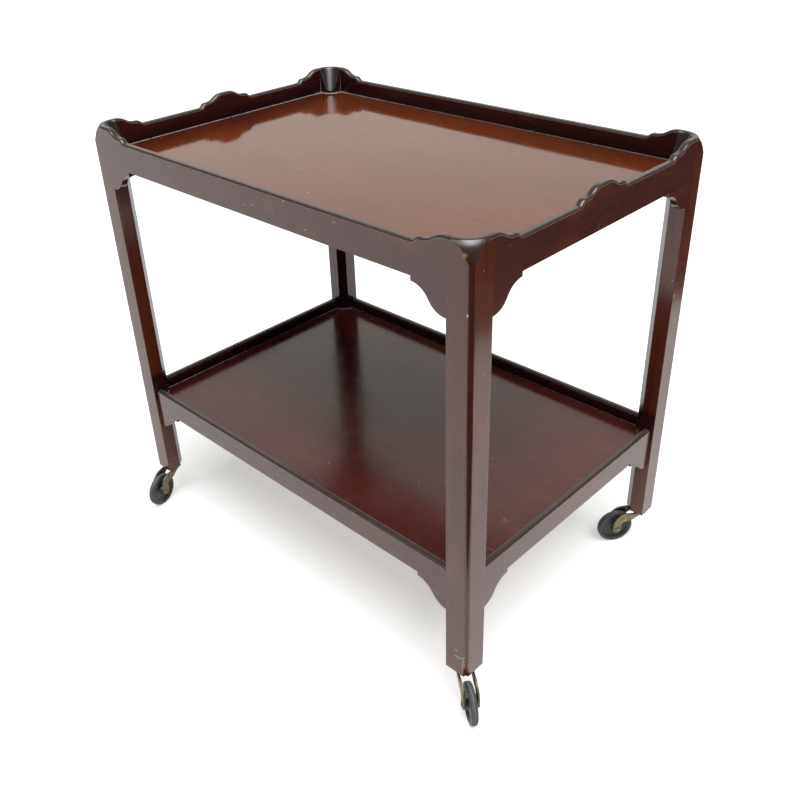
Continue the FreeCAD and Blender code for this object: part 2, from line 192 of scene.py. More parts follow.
# ------------------------------------------------------------------ node helpers
def feed(tree, inputs, values):
    """Feed inputs, by name or number, each from a socket or with a value of its own. A
    colour that comes without its alpha gets it."""
    for key, value in values.items():
        if isinstance(value, bpy.types.NodeSocket):
            tree.links.new(value, inputs[key])
        elif inputs[key].type == "RGBA" and len(value) == 3:
            inputs[key].default_value = (*value, 1)
        else:
            inputs[key].default_value = value


def put(tree, kind, values=None, **settings):
    """A node of that kind, with its settings made and then its inputs fed."""
    made = tree.nodes.new(kind)
    row, column = divmod(len(tree.nodes), NODES_IN_ROW)
    made.location = (NODE_PITCH[0] * column, NODE_PITCH[1] * row)
    for key, value in settings.items():
        setattr(made, key, value)
    feed(tree, made.inputs, values or {})
    return made


def maths(tree, operation, first, *others):
    """Math of one value or two; three or more are taken in turn, from left to right."""
    if not others:
        return put(tree, "ShaderNodeMath", {0: first}, operation=operation).outputs[0]
    for other in others:
        first = put(tree, "ShaderNodeMath", {0: first, 1: other},
                    operation=operation).outputs[0]
    return first


def times(tree, *values):
    return maths(tree, "MULTIPLY", *values)


def plus(tree, *values):
    return maths(tree, "ADD", *values)


def minus(tree, *values):
    return maths(tree, "SUBTRACT", *values)


def largest(tree, *values):
    return maths(tree, "MAXIMUM", *values)


def vector_maths(tree, operation, *values, output=0):
    """Math of vectors. Output 0 is a vector and output 1 a number, as of a dot product."""
    made = put(tree, "ShaderNodeVectorMath", dict(enumerate(values)), operation=operation)
    return made.outputs[output]


def scaled(tree, vector, factor):
    """Vector or colour times a number."""
    made = put(tree, "ShaderNodeVectorMath", {0: vector, "Scale": factor}, operation="SCALE")
    return made.outputs[0]


def blend(tree, factor, a, b):
    """Mix of two colours by a factor."""
    return put(tree, "ShaderNodeMix", {0: factor, 6: a, 7: b}, data_type="RGBA").outputs[2]


def stretched(tree, vector, along, across):
    """Vector scaled one way along x and another way across it."""
    return vector_maths(tree, "MULTIPLY", vector, (along, across, across))


def xyz(tree, vector):
    """The three parts of a vector."""
    return put(tree, "ShaderNodeSeparateXYZ", {0: vector}).outputs


def between(tree, value, low, high, to_low=0.0, to_high=1.0):
    """Smooth step of a value from low to high."""
    made = put(tree, "ShaderNodeMapRange", {0: value, 1: low, 2: high, 3: to_low, 4: to_high},
               interpolation_type="SMOOTHSTEP")
    return made.outputs[0]


def noise(tree, vector, scale=1.0, detail=2.0, roughness=0.5):
    """Smooth noise from 0 to 1."""
    made = put(tree, "ShaderNodeTexNoise", {"Vector": vector, "Scale": scale,
                                            "Detail": detail, "Roughness": roughness})
    return made.outputs[0]


def own_place(tree):
    """Place on the object, in metres."""
    return put(tree, "ShaderNodeTexCoord").outputs["Object"]


def relief(tree, height, **normal):
    """Normal of a surface that stands up by a height in metres, over its own normal or the
    one that is given as Normal."""
    return put(tree, "ShaderNodeBump", {"Strength": 1.0, "Distance": 1.0, "Height": height,
                                        **normal}).outputs[0]


def group(name, inputs, outputs):
    """Empty shader node group with its sockets. inputs and outputs are {name: default}; a
    number makes a float socket, three numbers a vector, four a colour."""
    tree = bpy.data.node_groups.new(name, "ShaderNodeTree")
    for in_out, sockets in (("INPUT", inputs), ("OUTPUT", outputs)):
        for title, default in sockets.items():
            size = 1 if isinstance(default, (int, float)) else len(default)
            kind = {1: "NodeSocketFloat", 3: "NodeSocketVector", 4: "NodeSocketColor"}[size]
            socket = tree.interface.new_socket(title, in_out=in_out, socket_type=kind)
            if in_out == "INPUT":
                socket.default_value = default
    source = tree.nodes.new("NodeGroupInput")
    sink = tree.nodes.new("NodeGroupOutput")
    sink.location = (2600, 0)
    return tree, source.outputs, sink.inputs


def use(tree, name, values):
    """Outputs of a node group that is placed with its inputs fed."""
    return put(tree, "ShaderNodeGroup", values, node_tree=bpy.data.node_groups[name]).outputs


def new_material(name):
    """Material with only a Principled shader; returns it, its tree and the shader."""
    material = bpy.data.materials.new(name)
    material.use_nodes = True
    return material, material.node_tree, material.node_tree.nodes["Principled BSDF"]


def new_object(name, mesh):
    """Object round a mesh, linked to the scene."""
    made = bpy.data.objects.new(name, mesh)
    bpy.context.scene.collection.objects.link(made)
    return made


def paint(material, *names):
    """Give CAD nodes a material in place of their own."""
    for name in names:
        for slot in NODES[name].material_slots:
            slot.material = material


# ------------------------------------------------------------------ shared effects
def make_figure_group():
    """Mahogany figure. The vector is in metres with the grain along x. Colour runs from
    dark streaks through the body to the lighter ribbon; pores are fine short dashes."""
    tree, given, result = group(
        "Mahogany figure",
        {"Vector": (0, 0, 0), "Body": (0.1, 0.1, 0.1, 1), "Dark": (0.1, 0.1, 0.1, 1),
         "Light": (0.1, 0.1, 0.1, 1), "Contrast": 1.0},
        {"Color": (0, 0, 0, 1), "Pores": 0.0})
    at = given["Vector"]
    drift = noise(tree, stretched(tree, at, 3.0, 9.0), 1, 2)
    sway = put(tree, "ShaderNodeTexNoise", {"Vector": at, "Scale": 7.0, "Detail": 1.0})
    bent = vector_maths(tree, "ADD", at, stretched(tree, sway.outputs[1], 0.0, 0.012))
    streaks = noise(tree, stretched(tree, bent, 4.0, 120.0), 1, 4, 0.6)
    ribbon = noise(tree, stretched(tree, bent, 11.0, 34.0), 1, 2, 0.5)
    fibre = noise(tree, stretched(tree, at, 45.0, 1300.0), 1, 2)
    dashes = noise(tree, stretched(tree, at, 90.0, 1900.0), 1, 1)
    pores = between(tree, dashes, 0.60, 0.72)
    dark_share = times(tree, between(tree, streaks, 0.50, 0.72), given["Contrast"])
    light_share = times(tree, between(tree, ribbon, 0.52, 0.75), given["Contrast"])
    colour = blend(tree, dark_share, given["Body"], given["Dark"])
    colour = blend(tree, light_share, colour, given["Light"])
    tone = times(tree, between(tree, drift, 0.25, 0.75, 0.80, 1.16),
                 between(tree, fibre, 0.2, 0.8, 0.90, 1.10),
                 minus(tree, 1.0, times(tree, pores, 0.45)))
    feed(tree, result, {"Color": scaled(tree, colour, tone), "Pores": pores})


def make_edge_group():
    """Eased edges. The bevel's normal differs from the face's own only near an edge, and that
    difference, broken up by noise, is the wear mask."""
    tree, given, result = group(
        "Eased edge", {"Vector": (0, 0, 0), "Radius": 0.001, "Wear": 0.5},
        {"Mask": 0.0, "Edge": 0.0, "Normal": (0, 0, 1)})
    bevel = put(tree, "ShaderNodeBevel", {"Radius": given["Radius"]}, samples=6).outputs[0]
    face = put(tree, "ShaderNodeNewGeometry").outputs["Normal"]
    turn = minus(tree, 1.0, vector_maths(tree, "DOT_PRODUCT", bevel, face, output=1))
    edge = between(tree, turn, 0.01, 0.16)
    patches = noise(tree, given["Vector"], 38.0, 4, 0.65)
    worn = between(tree, patches, minus(tree, 0.78, given["Wear"]), 0.80)
    feed(tree, result, {"Mask": times(tree, edge, worn), "Edge": edge, "Normal": bevel})


def make_marks_group():
    """Marks of use. Specks are rare Voronoi cells shown as small dots, scratches are thin
    cell borders stretched along x, smears are broad noise."""
    tree, given, result = group(
        "Marks of use", {"Vector": (0, 0, 0), "Specks": 0.5, "Scratches": 0.5},
        {"Specks": 0.0, "Scratches": 0.0, "Smears": 0.0})
    at = given["Vector"]
    cells = put(tree, "ShaderNodeTexVoronoi", {"Vector": at, "Scale": 75.0})
    chance = put(tree, "ShaderNodeSeparateColor", {0: cells.outputs["Color"]}).outputs[0]
    rare = maths(tree, "GREATER_THAN", chance,
                 minus(tree, 1.0, times(tree, given["Specks"], 0.1)))
    dot = between(tree, cells.outputs["Distance"], 0.10, 0.05)
    sway = put(tree, "ShaderNodeTexNoise", {"Vector": at, "Scale": 9.0})
    bent = vector_maths(tree, "ADD", at, stretched(tree, sway.outputs[1], 0.03, 0.03))
    lines = put(tree, "ShaderNodeTexVoronoi",
                {"Vector": stretched(tree, bent, 6.0, 34.0), "Scale": 1.0},
                feature="DISTANCE_TO_EDGE").outputs["Distance"]
    where = between(tree, noise(tree, at, 16.0, 2), 0.56, 0.70)
    feed(tree, result, {
        "Specks": times(tree, dot, rare),
        "Scratches": times(tree, between(tree, lines, 0.014, 0.004), where,
                           given["Scratches"]),
        "Smears": between(tree, noise(tree, at, 11.0, 3, 0.6), 0.35, 0.72)})


def make_rub_group():
    """Rubbed place: 1 inside an egg-shaped patch round a centre, falling off to its edge."""
    tree, given, result = group(
        "Rubbed place", {"Vector": (0, 0, 0), "Centre": (0, 0, 0), "Size": (0.01, 0.01, 0.01)},
        {"Mask": 0.0})
    away = vector_maths(tree, "SUBTRACT", given["Vector"], given["Centre"])
    far = vector_maths(tree, "LENGTH", vector_maths(tree, "DIVIDE", away, given["Size"]),
                       output=1)
    rough_edge = minus(tree, noise(tree, given["Vector"], 260.0, 3, 0.6), 0.5)
    ragged = plus(tree, far, times(tree, rough_edge, 1.1))
    feed(tree, result, {"Mask": between(tree, ragged, 1.0, 0.7)})


def make_flush_group():
    """Flush joint: 1 where two pieces meet in one plane, so that no eased edge shows there.

    The joints are the level ones between brackets and rails, further out than the given
    bracket tips, and the upright ones between rails and legs, above the given height."""
    tree, given, result = group(
        "Flush joint",
        {"Vector": (0, 0, 0), "Tray joint": (0, 0, 0), "Shelf joint": (0, 0, 0),
         "Leg face": (0, 0, 0), "Outer face": (0, 0, 0)},
        {"Mask": 0.0})
    inside, outside = 0.0013, 0.0019

    def near(value, at):
        return between(tree, maths(tree, "ABSOLUTE", minus(tree, value, at)), outside, inside)

    def beyond(value, at):
        return maths(tree, "GREATER_THAN", value, at)

    at = xyz(tree, vector_maths(tree, "ABSOLUTE", given["Vector"]))
    masks = []
    for title in ("Tray joint", "Shelf joint"):
        joint = xyz(tree, given[title])
        past_tip = largest(tree, beyond(at[0], joint[0]), beyond(at[1], joint[1]))
        masks.append(times(tree, near(at[2], joint[2]), past_tip))
    face, outer = xyz(tree, given["Leg face"]), xyz(tree, given["Outer face"])
    upright = largest(tree, times(tree, near(at[0], face[0]), near(at[1], outer[1])),
                      times(tree, near(at[1], face[1]), near(at[0], outer[0])))
    masks.append(times(tree, upright, beyond(at[2], face[2])))
    feed(tree, result, {"Mask": largest(tree, *masks)})


def make_film_group():
    """Uneven film on metal or rubber: broad patches broken by fine grain."""
    tree, given, result = group(
        "Film", {"Vector": (0, 0, 0), "Scale": 100.0, "Cover": 0.5}, {"Mask": 0.0, "Grain": 0.0})
    broad = noise(tree, given["Vector"], given["Scale"], 5, 0.62)
    fine = noise(tree, given["Vector"], 1400.0, 2)
    low = minus(tree, 0.62, times(tree, given["Cover"], 0.4))
    feed(tree, result, {"Mask": between(tree, broad, low, plus(tree, low, 0.22)),
                        "Grain": fine})


# ------------------------------------------------------------------ wood
def joint_places():
    """Inputs of the flush joint group, from the boxes of the brackets, rails and one leg."""
    places = {}
    for tier, title in (("tray", "Tray joint"), ("shelf", "Shelf joint")):
        places[title] = (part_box(tier + "_bracket_front_b")[0].x,
                         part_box(tier + "_bracket_right_b")[0].y,
                         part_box(tier + "_rail_front")[0].z)
    low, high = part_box("leg_front_right")
    places["Leg face"] = (low.x, -high.y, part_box("tray_bracket_front_b")[0].z)
    places["Outer face"] = (high.x, -low.y, 0.0)
    return places


def make_painted_light_group():
    """Painted light and shade on the frame, by the way each face turns. Tops: everything that
    faces up, which gets a dark grey painted as its dim reflection. Arris: a thin band of
    painted highlight where a rounded top begins. Shade: painted shade on faces turned towards
    the middle, where Inner shade darkens them all, more so in the last 26 mm above each board,
    and Foot shade only the first 55 mm above each board. The flats on the inner arrises always
    get painted shade. Hollow: painted shade in the hollows on the outer arrises.

    How far a face looks inwards is its normal times its place, in half widths of the tray,
    turned round: 1 on the inner side of a rail, about 1.3 on the flat of an inner arris, -1
    on an outer face and about -1.45 in the hollow of an outer arris."""
    tree, given, result = group(
        "Painted shade and highlights", {"Vector": (0, 0, 0), "Inner shade": 0.0, "Foot shade": 0.0},
        {"Tops": 0.0, "Arris": 0.0, "Shade": 0.0, "Hollow": 0.0})
    deep_band, foot_band, foot_fade = 0.026, 0.040, 0.055
    inward = (-2.94, -4.48, 0)
    shelf_top, tray_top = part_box("shelf_board")[1].z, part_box("tray_board")[1].z
    place = given["Vector"]
    face = put(tree, "ShaderNodeNewGeometry").outputs["Normal"]
    up = xyz(tree, face)[2]
    patchy = between(tree, noise(tree, place, 70.0, 4, 0.6), 0.2, 0.6)
    # Painted reflection: a mask of every face turned up, which gets the dark grey and rougher
    # polish.
    tops = between(tree, up, 0.16, 0.36)
    # Painted highlight: a thin band where a rounded top begins.
    arris = times(tree, between(tree, up, 0.03, 0.09), between(tree, up, 0.27, 0.16))
    inner = vector_maths(tree, "DOT_PRODUCT", face,
                         vector_maths(tree, "MULTIPLY", place, inward), output=1)
    above = maths(tree, "MODULO", minus(tree, xyz(tree, place)[2], shelf_top),
                  tray_top - shelf_top)
    low = between(tree, above, deep_band, 0.0)
    deep = times(tree, given["Inner shade"], plus(tree, 1.0, times(tree, low, 0.7)))
    foot = times(tree, between(tree, above, foot_fade, foot_band),
                 maths(tree, "GREATER_THAN", above, 0.0))
    deep = plus(tree, deep, times(tree, foot, given["Foot shade"]))
    # Painted shade: faces turned inwards darkened by Inner shade and Foot shade; the flats of
    # the inner arrises always darkened.
    shade = largest(tree, times(tree, between(tree, inner, 0.5, 0.9), deep),
                    times(tree, between(tree, inner, 1.08, 1.25), 0.85))
    feed(tree, result, {
        "Tops": times(tree, tops, plus(tree, 0.8, times(tree, patchy, 0.2))),
        "Arris": times(tree, arris, plus(tree, 0.45, times(tree, patchy, 0.45))),
        "Shade": shade,
        "Hollow": between(tree, inner, -1.12, -1.32)})


def frame_wear_and_painted_light(tree, place, colour, rough, face, joints, wear, painted_tops, shade, foot):
    """Worn arrises with a pale painted highlight, painted shade, and tops painted dark grey as
    their dim reflection, over the frame's plain polish. Returns the new colour, roughness
    and normal."""
    look = bpy.context.scene.trolley_wood
    edges = use(tree, "Eased edge", {"Vector": place, "Radius": look.eased, "Wear": wear})
    flush = use(tree, "Flush joint", {"Vector": place, **joints})["Mask"]
    kept = minus(tree, 1.0, flush)
    normal = vector_maths(tree, "ADD", scaled(tree, edges["Normal"], kept),
                          scaled(tree, face, flush))
    painted_light = use(tree, "Painted shade and highlights", {"Vector": place, "Inner shade": shade,
                                         "Foot shade": foot})
    # Painted shade on faces turned inwards.
    colour = blend(tree, painted_light["Shade"], colour, INNER_PAINTED_SHADE)
    # Painted shade in the hollows of the outer arrises.
    colour = blend(tree, times(tree, painted_light["Hollow"], 0.5), colour, HOLLOW_PAINTED_SHADE)
    # Painted reflection: dark grey on the tops.
    colour = blend(tree, times(tree, painted_light["Tops"], 0.85), colour, painted_tops)
    # Painted highlight: a pale line on the worn parts of the eased edges and where rounded tops
    # begin.
    line = largest(tree, times(tree, edges["Mask"], kept, 0.7), painted_light["Arris"])
    colour = blend(tree, line, colour, look.arris)
    rough = plus(tree, rough, plus(tree, times(tree, painted_light["Tops"], look.handled),
                                   times(tree, line, 0.2)))
    return colour, rough, normal


def dust_and_shade_board(tree, place, colour, rough, dust, age):
    """Painted shade and a little dust towards the edges of a board, and painted shade at its
    left end. Returns the new colour and roughness."""
    edge_band, end_band = 0.05, 0.085
    split = xyz(tree, place)
    from_middle = [maths(tree, "ABSOLUTE", part) for part in split[:2]]
    rim = largest(tree, *(between(tree, part, half - edge_band, half)
                          for part, half in zip(from_middle, dust)))
    lying = times(tree, rim, between(tree, noise(tree, place, 90.0, 5, 0.7), 0.48, 0.75))
    # Painted shade along the edges and at the left end of the board.
    left = between(tree, split[0], end_band - dust[0], -dust[0])
    old = largest(tree, times(tree, rim, 0.6), left)
    colour = blend(tree, times(tree, old, age), colour, BOARD_EDGE_PAINTED_SHADE)
    colour = blend(tree, times(tree, lying, 0.05), colour, DUST)
    return colour, plus(tree, rough, times(tree, lying, 0.12))


def wood_material(name, turn, body, gloss, contrast, wear=0.34, specks=0.5, scratches=0.5,
                  ripple=0.00004, rubs=(), joints=None, painted_tops=(), shade=0.0, foot=0.0,
                  dust=None, age=0.0, sheen=(0.94, 0.95, 0.84)):
    """Polished mahogany. turn is the rotation that brings the grain along x, gloss the
    roughness, ripple the height in metres of the slow waves in the polish, and rubs are
    (centre, size, strength, colour) of single rubbed places.

    joints, given for the frame, are its flush joints; its other edges are eased, and worn
    as far as wear says, with a pale painted highlight on the worn arrises. held is the dark
    grey painted on its tops as their dim reflection, shade how much painted shade darkens
    its faces turned inwards, and foot the same painted shade beside the boards only.

    dust, given for a board, is the half length and half width inside which its edges hold
    dust, age is how much painted shade darkens those edges and the board's left end, and
    sheen is the tint of its polish."""
    look = bpy.context.scene.trolley_wood
    material, tree, shader = new_material(name)
    place = own_place(tree)
    along = put(tree, "ShaderNodeMapping", {"Vector": place, "Rotation": turn}).outputs[0]
    figure = use(tree, "Mahogany figure", {"Vector": along, "Body": body, "Dark": look.dark,
                                           "Light": look.light, "Contrast": contrast})
    marks = use(tree, "Marks of use", {"Vector": along, "Specks": specks,
                                       "Scratches": scratches})
    colour = figure["Color"]
    rough = between(tree, marks["Smears"], 0.0, 1.0, gloss, gloss * 1.4)
    normal = put(tree, "ShaderNodeNewGeometry").outputs["Normal"]
    if joints:
        colour, rough, normal = frame_wear_and_painted_light(tree, place, colour, rough, normal, joints, wear,
                                             painted_tops, shade, foot)
    for centre, size, strength, bare in rubs:
        spot = use(tree, "Rubbed place", {"Vector": place, "Centre": centre, "Size": size})
        colour = blend(tree, times(tree, spot["Mask"], strength), colour, bare)
    colour = blend(tree, times(tree, marks["Scratches"], 0.28), colour, SCRATCH)
    colour = blend(tree, times(tree, marks["Specks"], 0.7), colour, SPECK)
    rough = plus(tree, rough, times(tree, figure["Pores"], 0.08))
    if dust:
        colour, rough = dust_and_shade_board(tree, place, colour, rough, dust, age)
        feed(tree, shader.inputs, {"Specular Tint": sheen})
    waves = noise(tree, stretched(tree, along, 9.0, 26.0), 1, 2, 0.5)
    fine = noise(tree, stretched(tree, along, 60.0, 700.0), 1, 2, 0.6)
    height = plus(tree, times(tree, waves, ripple), times(tree, fine, FIBRE_HEIGHT))
    height = minus(tree, height, times(tree, figure["Pores"], PORE_DEPTH),
                   times(tree, marks["Scratches"], SCRATCH_DEPTH))
    feed(tree, shader.inputs, {"Base Color": colour, "Roughness": rough, "IOR": look.index,
                               "Normal": relief(tree, height, Normal=normal)})
    return material


class TROLLEY_OT_wood(bpy.types.Operator):
    """Give every rail, leg, bracket and board its polished mahogany"""
    bl_idname = "trolley.wood"
    bl_label = "Polish the wood"

    def execute(self, context):
        look = context.scene.trolley_wood
        for make in (make_figure_group, make_edge_group, make_marks_group, make_rub_group,
                     make_flush_group, make_painted_light_group):
            make()
        quarter = math.pi / 2
        along_x, along_y, along_z = (0, 0, 0), (0, 0, -quarter), (0, quarter, 0)
        plum = tuple(c * share for c, share in zip(look.body, (0.78, 0.86, 1.15)))
        shelf_gloss = look.board_gloss * 2.5
        tan, chalk = look.rubbed, (0.72, 0.70, 0.66)
        joints = joint_places()
        low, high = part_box("leg_front_right")
        front, right = low.y, high.x
        # The legs get painted dark tops at half strength and painted shade beside the boards.
        leg = wood_material(
            "mahogany_leg", along_z, look.body, look.gloss, contrast=0.7, wear=0.62,
            specks=0.9, scratches=0.4, joints=joints,
            painted_tops=tuple(c * 0.5 for c in look.painted_top_grey), foot=0.8,
            rubs=[((0.3452, front, 0.0805), (0.003, 0.003, 0.013), 0.85, tan),
                  ((0.3400, front, 0.6447), (0.003, 0.003, 0.003), 0.7, tan),
                  ((0.3445, front, 0.5816), (0.0015, 0.002, 0.0022), 0.95, chalk),
                  ((0.3360, front, 0.0900), (0.006, 0.003, 0.0011), 0.9, chalk),
                  ((right, 0.2023, 0.4432), (0.0015, 0.002, 0.0022), 0.9, chalk),
                  ((0.3196, front, 0.1755), (0.0030, 0.003, 0.0022), 0.5, tan),
                  ((0.3171, front, 0.1410), (0.0028, 0.003, 0.0016), 0.5, tan),
                  ((0.3330, front, 0.1008), (0.0035, 0.003, 0.0012), 0.6, chalk),
                  ((0.3440, front, 0.0935), (0.0035, 0.003, 0.0012), 0.8, chalk)])
        front_specks = [((x, front, z), (0.0022, 0.003, 0.0016), 0.35, chalk) for x, z in (
            (-0.0046, 0.6171), (0.0102, 0.6200), (0.0705, 0.6384), (0.1376, 0.6448),
            (0.1553, 0.6337), (0.1055, 0.6122))]
        front_specks.append(((0.0419, front, 0.6249), (0.011, 0.004, 0.010), 0.12, tan))
        # The rails get painted dark tops and painted shade on their inner faces.
        rail_x, rail_y = (
            wood_material("mahogany_rail_" + length, turn, plum, look.gloss, contrast=0.5,
                          rubs=rubs, joints=joints, painted_tops=look.painted_top_grey, shade=0.55)
            for length, turn, rubs in (("long", along_x, front_specks),
                                       ("short", along_y, ())))
        # Both boards get painted shade along their edges and at their left ends.
        tray = wood_material("mahogany_board_tray", along_x, look.veneer, look.board_gloss,
                             contrast=0.28, ripple=0.00010, dust=(0.340, 0.223), age=0.7)
        shelf = wood_material("mahogany_board_shelf", along_x, look.shelf, shelf_gloss,
                              contrast=0.35, ripple=0.00005, scratches=0.6,
                              dust=(0.336, 0.219), age=0.5, sheen=(1.0, 0.93, 0.90))
        paint(leg, *("leg_" + corner for corner in CORNERS))
        for tier in ("tray", "shelf"):
            for side, rail in (("front", rail_x), ("back", rail_x),
                               ("left", rail_y), ("right", rail_y)):
                paint(rail, tier + "_rail_" + side, tier + "_bracket_" + side + "_a",
                      tier + "_bracket_" + side + "_b")
        paint(tray, "tray_board")
        paint(shelf, "shelf_board")
        return {"FINISHED"}


# ------------------------------------------------------------------ surfaces
def closed_surface(name, grid):
    """Mesh over a grid of points (rows, columns, 3) that joins up both ways, like a ring.
    The face at (i, j) takes points (i, j), (i, j+1), (i+1, j+1), (i+1, j). Its UV map runs
    0 to 1 along the columns and along the rows."""
    rows, columns = grid.shape[:2]
    number = np.arange(rows * columns).reshape(rows, columns)
    right = np.roll(number, -1, axis=1)
    up = np.roll(number, -1, axis=0)
    both = np.roll(right, -1, axis=0)
    faces = np.stack([number, right, both, up], axis=-1).reshape(-1, 4)
    mesh = bpy.data.meshes.new(name)
    mesh.from_pydata(grid.reshape(-1, 3).tolist(), [], faces.tolist())
    i, j = np.meshgrid(np.arange(rows), np.arange(columns), indexing="ij")
    u = np.stack([j, j + 1, j + 1, j], axis=-1) / columns
    v = np.stack([i, i, i + 1, i + 1], axis=-1) / rows
    layer = mesh.uv_layers.new(name="UVMap")
    layer.data.foreach_set("uv", np.stack([u, v], axis=-1).astype(np.float32).ravel())
    mesh.polygons.foreach_set("use_smooth", np.ones(len(faces), bool))
    mesh.validate()
    mesh.update()
    return new_object(name, mesh)


def castor_frame(corner):
    """Trail direction, axle direction and axle centre of a castor at rest, read from its
    socket and tyre."""
    low, high = (np.array(v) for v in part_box("castor_socket_" + corner))
    stem = (low + high) / 2
    low, high = (np.array(v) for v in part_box("castor_tyre_" + corner))
    centre = (low + high) / 2
    trail = centre - stem
    trail[2] = 0
    trail /= np.linalg.norm(trail)
    return trail, np.array([-trail[1], trail[0], 0.0]), centre


def turned_ring(name, corner, across, radius):
    """Ring turned about a castor's axle. Its side view has one point to a row: across (rows)
    is the place along the axle, and radius (rows, columns) the distance from it, at equal
    turns from column to column."""
    trail, axle, centre = castor_frame(corner)
    turn = np.linspace(0, 2 * np.pi, radius.shape[1], endpoint=False)
    grid = (centre + across[:, None, None] * axle
            + (radius * np.cos(turn))[..., None] * trail
            + (radius * np.sin(turn))[..., None] * np.array([0.0, 0.0, 1.0]))
    return closed_surface(name, grid)


# ------------------------------------------------------------------ polish line
def resample(points, step):
    """Closed polyline as points about a step apart, at least two to a side, with its
    corners kept."""
    ends = np.roll(points, -1, axis=0)
    runs = [np.linspace(a, b, max(2, int(np.linalg.norm(b - a) / step)), endpoint=False)
            for a, b in zip(points, ends)]
    return np.concatenate(runs)


def polish_bead(name, half_x, half_y, leg, chamfer, inset, floor, size, flare):
    """Thin hollow fillet round the foot of a tray's walls.

    The path is the wall line: a rectangle whose corners step round the four legs and cut
    across their inner chamfers. At each point the section is a quarter-circle hollow of
    size r, from r out along the floor to r up the wall; r swells beside the legs and
    wanders by a sum of sines. Two more points close it just under the floor."""
    pace, swell, sink, arc_points = 0.006, 0.010, 0.00012, 7
    a, b = leg - inset, leg - inset - chamfer
    step = np.array([[a, 0], [a, b], [b, a], [0, a]], float)
    quarter = [np.column_stack([sx * (half_x - step[:, 0]), sy * (half_y - step[:, 1])])
               for sx, sy in QUARTERS]
    path = np.concatenate([quarter[0][::-1], quarter[1], quarter[2][::-1], quarter[3]])
    ahead_of = np.roll(path, -1, axis=0)
    if np.sum(path[:, 0] * ahead_of[:, 1] - path[:, 1] * ahead_of[:, 0]) < 0:
        path = path[::-1]
    line = resample(path, pace)
    ahead = np.roll(line, -1, axis=0) - line
    ahead /= np.linalg.norm(ahead, axis=1, keepdims=True)
    behind = np.roll(ahead, 1, axis=0)
    normal_a = np.column_stack([-ahead[:, 1], ahead[:, 0]])
    normal_b = np.column_stack([-behind[:, 1], behind[:, 0]])
    inward = (normal_a + normal_b) / (1 + np.sum(normal_a * normal_b, axis=1))[:, None]
    to_leg = np.min(np.linalg.norm(line[:, None] - path[None], axis=2), axis=1)
    s = np.arange(len(line)) * pace
    wander = 0.88 + 0.05 * np.sin(61 * s) + 0.04 * np.sin(143 * s + 1.3) + 0.06 * np.sin(19 * s)
    r = size * wander + flare * np.exp(-(to_leg / swell) ** 2)
    t = np.linspace(0, np.pi / 2, arc_points)
    out = np.concatenate([1 - np.sin(t), [0, 1]])
    rise = np.concatenate([1 - np.cos(t), [0, 0]])
    under_out = np.concatenate([np.zeros(arc_points), [-sink, 0]])
    under_rise = np.concatenate([np.zeros(arc_points), [-sink, -sink]])
    reach = out[:, None] * r[None] + under_out[:, None]
    height = rise[:, None] * r[None] + under_rise[:, None]
    grid = np.empty((len(out), len(line), 3))
    grid[..., :2] = line[None] + reach[..., None] * inward[None]
    grid[..., 2] = floor + height
    return closed_surface(name, grid[::-1])


def polish_uprights(name, half_x, half_y, leg, inset, floor, top, size, flare):
    """Eight thin hollow fillets up the angles between the rails and the sides of the legs.

    The section is a triangle with a hollow front, from r out along the leg to r out along
    the rail; r swells towards the floor as an exponential and runs out to nothing at the
    top, so each fillet closes on itself. The back of the section lies a little inside the
    wood."""
    lift, swell, thinnest, back = 0.0001, 0.004, 0.00002, -0.12
    turn = np.linspace(0, np.pi / 2, 5)
    section = np.concatenate([np.column_stack([1 - np.sin(turn), 1 - np.cos(turn)]),
                              [[back, 1.0], [back, back], [1.0, back]]])
    z = np.linspace(floor + lift, top, 26)
    share = (z - floor) / (top - floor)
    body = size * (0.85 + 0.15 * np.sin(260 * z)) + flare * np.exp(-(z - floor) / swell)
    r = body * np.sqrt(np.clip(1 - share, 0, 1)) + thinnest
    step = leg - inset
    rows, columns = len(z), len(section)
    number = np.arange(rows * columns).reshape(rows, columns)
    right = np.roll(number, -1, axis=1)
    sides = np.stack([number[:-1], right[:-1], right[1:], number[1:]], axis=-1).reshape(-1, 4)
    points, faces = [], []
    for sx, sy in QUARTERS:
        for foot in ((half_x - step, half_y), (half_x, half_y - step)):
            flat = np.array(foot) - r[:, None, None] * section[None]
            grid = np.concatenate([flat * np.array([sx, sy]),
                                   np.broadcast_to(z[:, None, None], (rows, columns, 1))], 2)
            if sx * sy > 0:
                grid = grid[:, ::-1]
            start = len(points) * rows * columns
            faces += (start + sides).tolist()
            faces += [(start + number[0, ::-1]).tolist(), (start + number[-1]).tolist()]
            points.append(grid.reshape(-1, 3))
    mesh = bpy.data.meshes.new(name)
    mesh.from_pydata(np.concatenate(points).tolist(), [], faces)
    mesh.update()
    return new_object(name, mesh)


def polish_material():
    """Old polish in patches, its pale colour a painted highlight that is strongest where the
    polish lies thick and mostly faded out along part of the back wall."""
    material, tree, shader = new_material("old_polish_and_painted_highlight")
    place = own_place(tree)
    split = xyz(tree, place)
    wiped = times(tree, between(tree, split[0], -0.29, -0.10),
                  between(tree, split[1], 0.20, 0.22))
    cover = times(tree, between(tree, noise(tree, place, 120.0, 4, 0.6), 0.28, 0.50),
                  between(tree, wiped, 0.0, 1.0, 1.0, 0.25))
    # Painted highlight: the pale colour of the polish line.
    feed(tree, shader.inputs, {
        "Base Color": blend(tree, cover, (0.12, 0.085, 0.070), (0.31, 0.285, 0.260)),
        "Roughness": between(tree, cover, 0, 1, 0.25, 0.6)})
    return material


